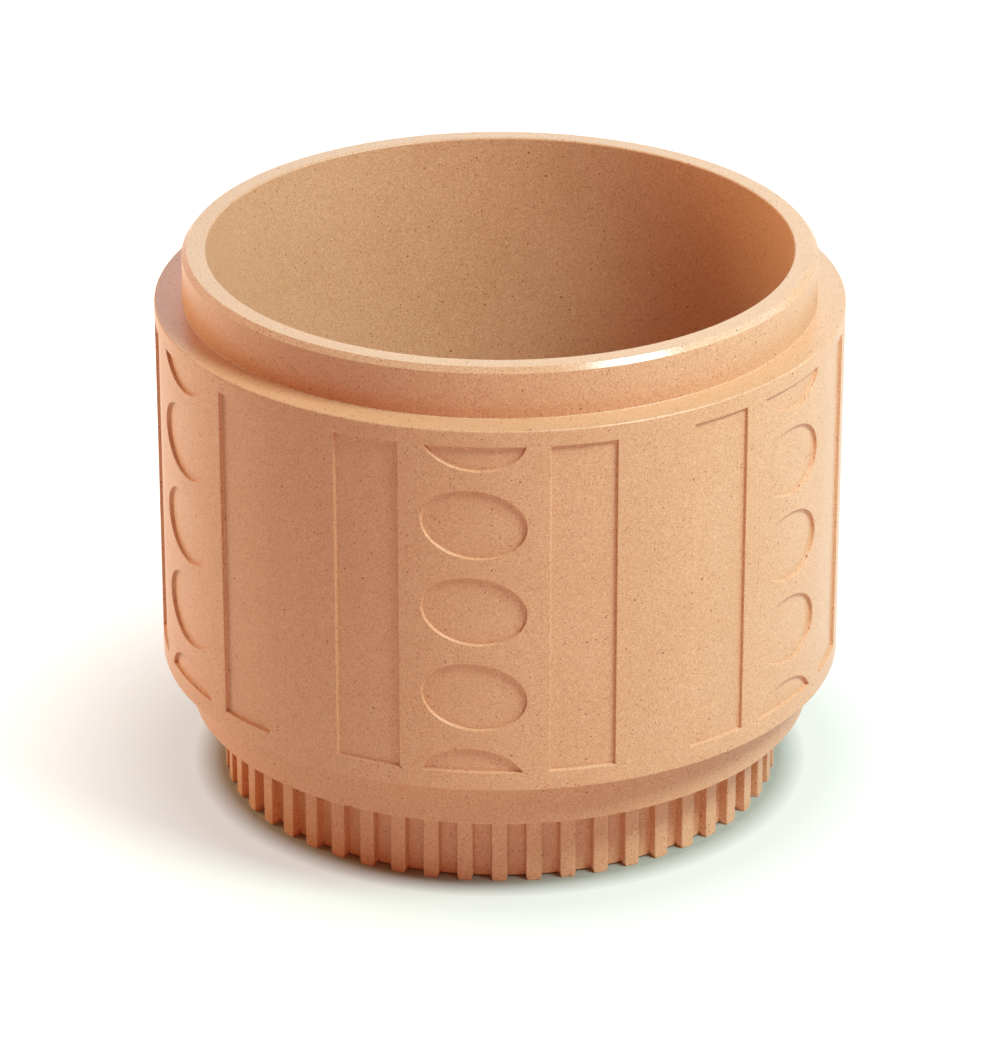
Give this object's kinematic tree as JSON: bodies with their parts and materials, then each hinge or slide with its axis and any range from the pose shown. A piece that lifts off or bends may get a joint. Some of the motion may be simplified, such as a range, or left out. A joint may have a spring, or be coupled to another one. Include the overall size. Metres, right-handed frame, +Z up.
{
  "type": "plastic flower pot",
  "caption": "Double-walled plastic flower pot: a drum with sunk bars and leaning ovals, a lift-out planting liner with a plain rim, and a ribbed foot.",
  "frame": {"origin": "centre of the circle of rib feet, on the surface that the pot stands on", "axes": "+Z up along the pot's axis; -Y faces the front column of ovals"},
  "size_m": [0.2, 0.2, 0.164],
  "materials": {
    "shell_plastic": "fine matt, terracotta colour with small dark specks",
    "liner_plastic": "fine matt, terracotta colour with small dark specks, rim edge a little polished",
    "tray_plastic": "fine matt, terracotta colour with small dark specks",
    "foot_plastic": "fine matt, terracotta colour with small dark specks",
    "screen_plastic": "matt, darker terracotta colour",
    "plug_rubber": "matt black",
    "screw_steel": "zinc plated"
  },
  "bodies": {
    "outer_pot": {"relief_shell": "shell_plastic", "base_tray": "tray_plastic", "foot_ring": "foot_plastic", "foot_screw_1": "screw_steel", "foot_screw_2": "screw_steel", "foot_screw_3": "screw_steel", "foot_screw_4": "screw_steel"},
    "liner": {"planting_liner": "liner_plastic"},
    "screen": {"root_screen": "screen_plastic"},
    "plug": {"drain_plug": "plug_rubber"}
  },
  "joints": [
    {"name": "liner_lift", "type": "slide", "parent": "outer_pot", "child": "liner", "axis": [0, 0, 1], "range_m": [0, 0.125]},
    {"name": "screen_lift", "type": "slide", "parent": "liner", "child": "screen", "axis": [0, 0, 1], "range_m": [0, 0.13]},
    {"name": "plug_pull", "type": "slide", "parent": "outer_pot", "child": "plug", "axis": [0, 0, 1], "range_m": [0, 0.008]}
  ]
}
